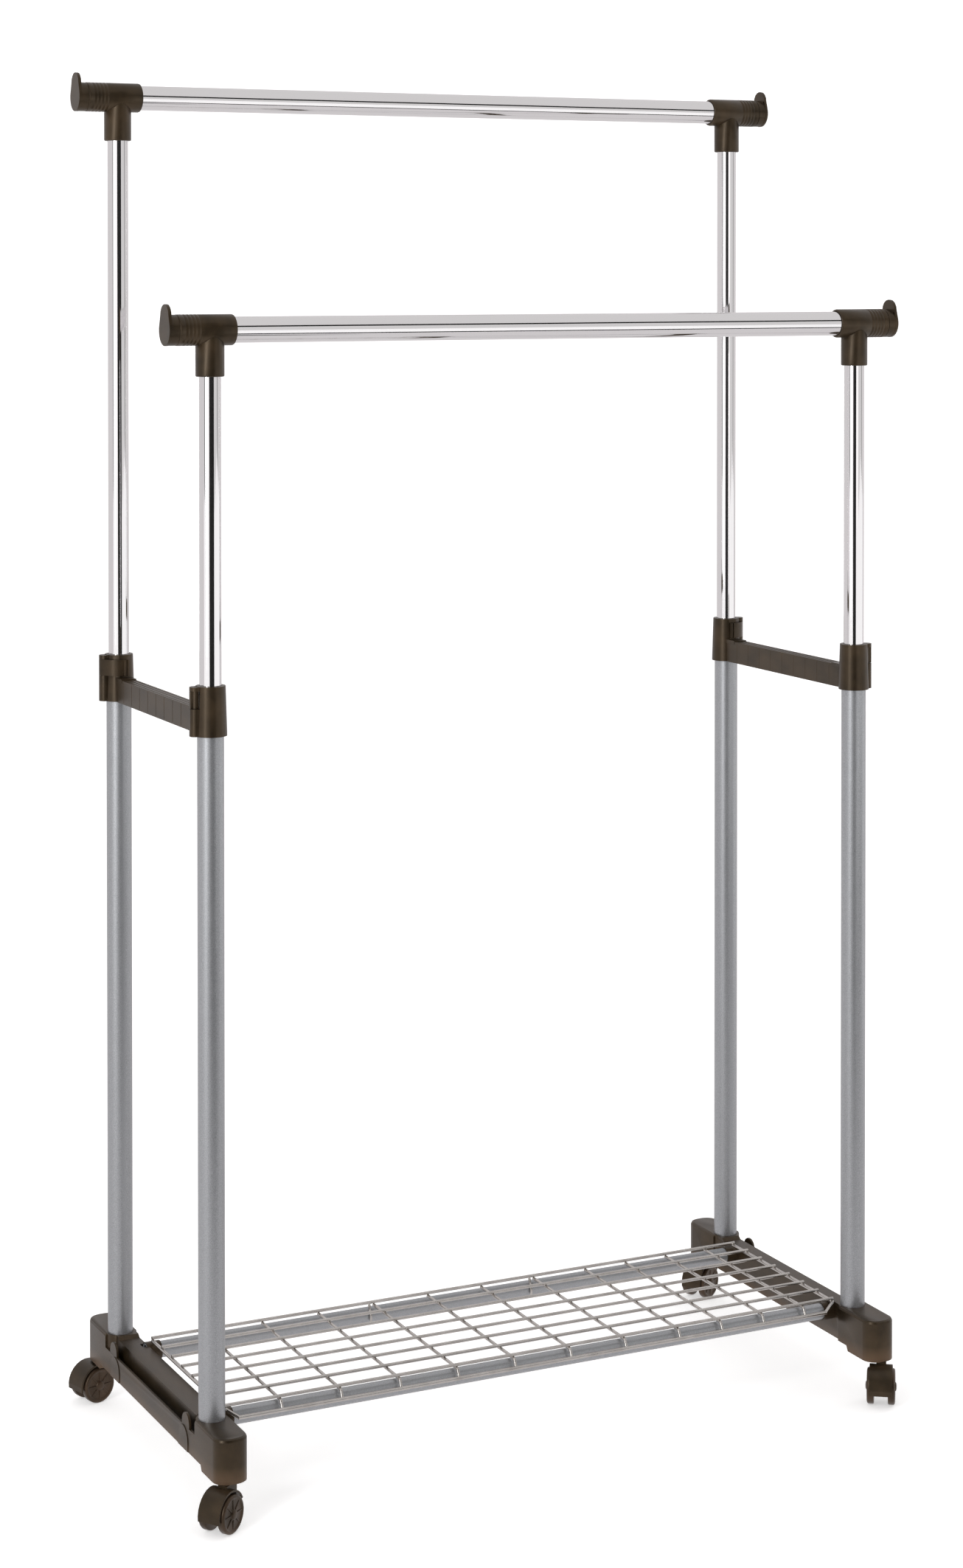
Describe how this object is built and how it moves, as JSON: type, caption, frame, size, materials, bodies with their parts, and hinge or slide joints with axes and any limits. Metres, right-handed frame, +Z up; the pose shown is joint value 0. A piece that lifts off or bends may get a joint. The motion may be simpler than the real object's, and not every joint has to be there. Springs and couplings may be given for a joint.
{
  "type": "rolling clothes rack",
  "caption": "Garment rack on swivel casters: chrome hanging rails at different heights on telescopic uprights with clamp levers, side braces, hollow feet and a low wire shelf.",
  "frame": {"origin": "on the floor, under the middle of the rack's box", "axes": "+X towards the right-hand end as seen from the front, -Y to the front (the lower rail), +Z up"},
  "size_m": [0.89, 0.452, 1.5081],
  "materials": {
    "smoke_plastic": "dark smoke-brown moulded plastic, faintly translucent at thin edges",
    "chrome": "bright chrome plate",
    "silver_paint": "silver metallic paint with a fine grain",
    "zinc_wire": "bright plated wire",
    "steel": "plain steel",
    "black_plastic": "black moulded plastic"
  },
  "bodies": {
    "frame": {"base_left": "smoke_plastic", "side_brace_left": "smoke_plastic", "base_right": "smoke_plastic", "side_brace_right": "smoke_plastic", "shelf_tube_front": "silver_paint", "shelf_tube_rear": "silver_paint", "shelf_grid": "zinc_wire", "lower_tube_front_left": "silver_paint", "lever_pin_front_left": "steel", "lower_tube_front_right": "silver_paint", "lever_pin_front_right": "steel", "lower_tube_rear_left": "silver_paint", "lever_pin_rear_left": "steel", "lower_tube_rear_right": "silver_paint", "lever_pin_rear_right": "steel"},
    "front_rail": {"rail_front": "chrome", "upper_tube_front_left": "chrome", "guide_bush_front_left": "black_plastic", "tee_front_left": "smoke_plastic", "end_cap_front_left": "smoke_plastic", "upper_tube_front_right": "chrome", "guide_bush_front_right": "black_plastic", "tee_front_right": "smoke_plastic", "end_cap_front_right": "smoke_plastic"},
    "lever_front_left": {"clamp_lever_front_left": "smoke_plastic"},
    "caster_front_left": {"caster_hood_front_left": "smoke_plastic", "caster_stem_front_left": "steel", "caster_axle_front_left": "steel"},
    "wheel_a_front_left": {"caster_wheel_a_front_left": "smoke_plastic"},
    "wheel_b_front_left": {"caster_wheel_b_front_left": "smoke_plastic"},
    "lever_front_right": {"clamp_lever_front_right": "smoke_plastic"},
    "caster_front_right": {"caster_hood_front_right": "smoke_plastic", "caster_stem_front_right": "steel", "caster_axle_front_right": "steel"},
    "wheel_a_front_right": {"caster_wheel_a_front_right": "smoke_plastic"},
    "wheel_b_front_right": {"caster_wheel_b_front_right": "smoke_plastic"},
    "rear_rail": {"rail_rear": "chrome", "upper_tube_rear_left": "chrome", "guide_bush_rear_left": "black_plastic", "tee_rear_left": "smoke_plastic", "end_cap_rear_left": "smoke_plastic", "upper_tube_rear_right": "chrome", "guide_bush_rear_right": "black_plastic", "tee_rear_right": "smoke_plastic", "end_cap_rear_right": "smoke_plastic"},
    "lever_rear_left": {"clamp_lever_rear_left": "smoke_plastic"},
    "caster_rear_left": {"caster_hood_rear_left": "smoke_plastic", "caster_stem_rear_left": "steel", "caster_axle_rear_left": "steel"},
    "wheel_a_rear_left": {"caster_wheel_a_rear_left": "smoke_plastic"},
    "wheel_b_rear_left": {"caster_wheel_b_rear_left": "smoke_plastic"},
    "lever_rear_right": {"clamp_lever_rear_right": "smoke_plastic"},
    "caster_rear_right": {"caster_hood_rear_right": "smoke_plastic", "caster_stem_rear_right": "steel", "caster_axle_rear_right": "steel"},
    "wheel_a_rear_right": {"caster_wheel_a_rear_right": "smoke_plastic"},
    "wheel_b_rear_right": {"caster_wheel_b_rear_right": "smoke_plastic"}
  },
  "joints": [
    {"name": "front_rail_height", "type": "slide", "parent": "frame", "child": "front_rail", "axis": [0, 0, 1], "range_m": [-0.32, 0.27]},
    {"name": "lever_turn_front_left", "type": "hinge", "parent": "frame", "child": "lever_front_left", "pos_m": [-0.4113, -0.1334, 0.8435], "axis": [0, 0, 1], "range_deg": [0, 100]},
    {"name": "caster_swivel_front_left", "type": "hinge", "parent": "frame", "child": "caster_front_left", "pos_m": [-0.3984, -0.1884, 0.0455], "axis": [0, 0, 1], "continuous": true},
    {"name": "wheel_turn_a_front_left", "type": "hinge", "parent": "caster_front_left", "child": "wheel_a_front_left", "pos_m": [-0.40896, -0.19599, 0.01975], "axis": [0.5835, -0.8121, 0], "continuous": true},
    {"name": "wheel_turn_b_front_left", "type": "hinge", "parent": "caster_front_left", "child": "wheel_b_front_left", "pos_m": [-0.40896, -0.19599, 0.01975], "axis": [0.5835, -0.8121, 0], "continuous": true},
    {"name": "lever_turn_front_right", "type": "hinge", "parent": "frame", "child": "lever_front_right", "pos_m": [0.4113, -0.1334, 0.8435], "axis": [0, 0, -1], "range_deg": [0, 100]},
    {"name": "caster_swivel_front_right", "type": "hinge", "parent": "frame", "child": "caster_front_right", "pos_m": [0.3984, -0.1884, 0.0455], "axis": [0, 0, 1], "continuous": true},
    {"name": "wheel_turn_a_front_right", "type": "hinge", "parent": "caster_front_right", "child": "wheel_a_front_right", "pos_m": [0.39094, -0.19905, 0.01975], "axis": [0.8192, -0.5736, 0], "continuous": true},
    {"name": "wheel_turn_b_front_right", "type": "hinge", "parent": "caster_front_right", "child": "wheel_b_front_right", "pos_m": [0.39094, -0.19905, 0.01975], "axis": [0.8192, -0.5736, 0], "continuous": true},
    {"name": "rear_rail_height", "type": "slide", "parent": "frame", "child": "rear_rail", "axis": [0, 0, 1], "range_m": [-0.57, 0.02]},
    {"name": "lever_turn_rear_left", "type": "hinge", "parent": "frame", "child": "lever_rear_left", "pos_m": [-0.4113, 0.1546, 0.8435], "axis": [0, 0, -1], "range_deg": [0, 100]},
    {"name": "caster_swivel_rear_left", "type": "hinge", "parent": "frame", "child": "caster_rear_left", "pos_m": [-0.3984, 0.2096, 0.0455], "axis": [0, 0, 1], "continuous": true},
    {"name": "wheel_turn_a_rear_left", "type": "hinge", "parent": "caster_rear_left", "child": "wheel_a_rear_left", "pos_m": [-0.41089, 0.206, 0.01975], "axis": [0.2773, -0.9608, 0], "continuous": true},
    {"name": "wheel_turn_b_rear_left", "type": "hinge", "parent": "caster_rear_left", "child": "wheel_b_rear_left", "pos_m": [-0.41089, 0.206, 0.01975], "axis": [0.2773, -0.9608, 0], "continuous": true},
    {"name": "lever_turn_rear_right", "type": "hinge", "parent": "frame", "child": "lever_rear_right", "pos_m": [0.4113, 0.1546, 0.8435], "axis": [0, 0, 1], "range_deg": [0, 100]},
    {"name": "caster_swivel_rear_right", "type": "hinge", "parent": "frame", "child": "caster_rear_right", "pos_m": [0.3984, 0.2096, 0.0455], "axis": [0, 0, 1], "continuous": true},
    {"name": "wheel_turn_a_rear_right", "type": "hinge", "parent": "caster_rear_right", "child": "wheel_a_rear_right", "pos_m": [0.38709, 0.2032, 0.01975], "axis": [0.4924, -0.8704, 0], "continuous": true},
    {"name": "wheel_turn_b_rear_right", "type": "hinge", "parent": "caster_rear_right", "child": "wheel_b_rear_right", "pos_m": [0.38709, 0.2032, 0.01975], "axis": [0.4924, -0.8704, 0], "continuous": true}
  ]
}
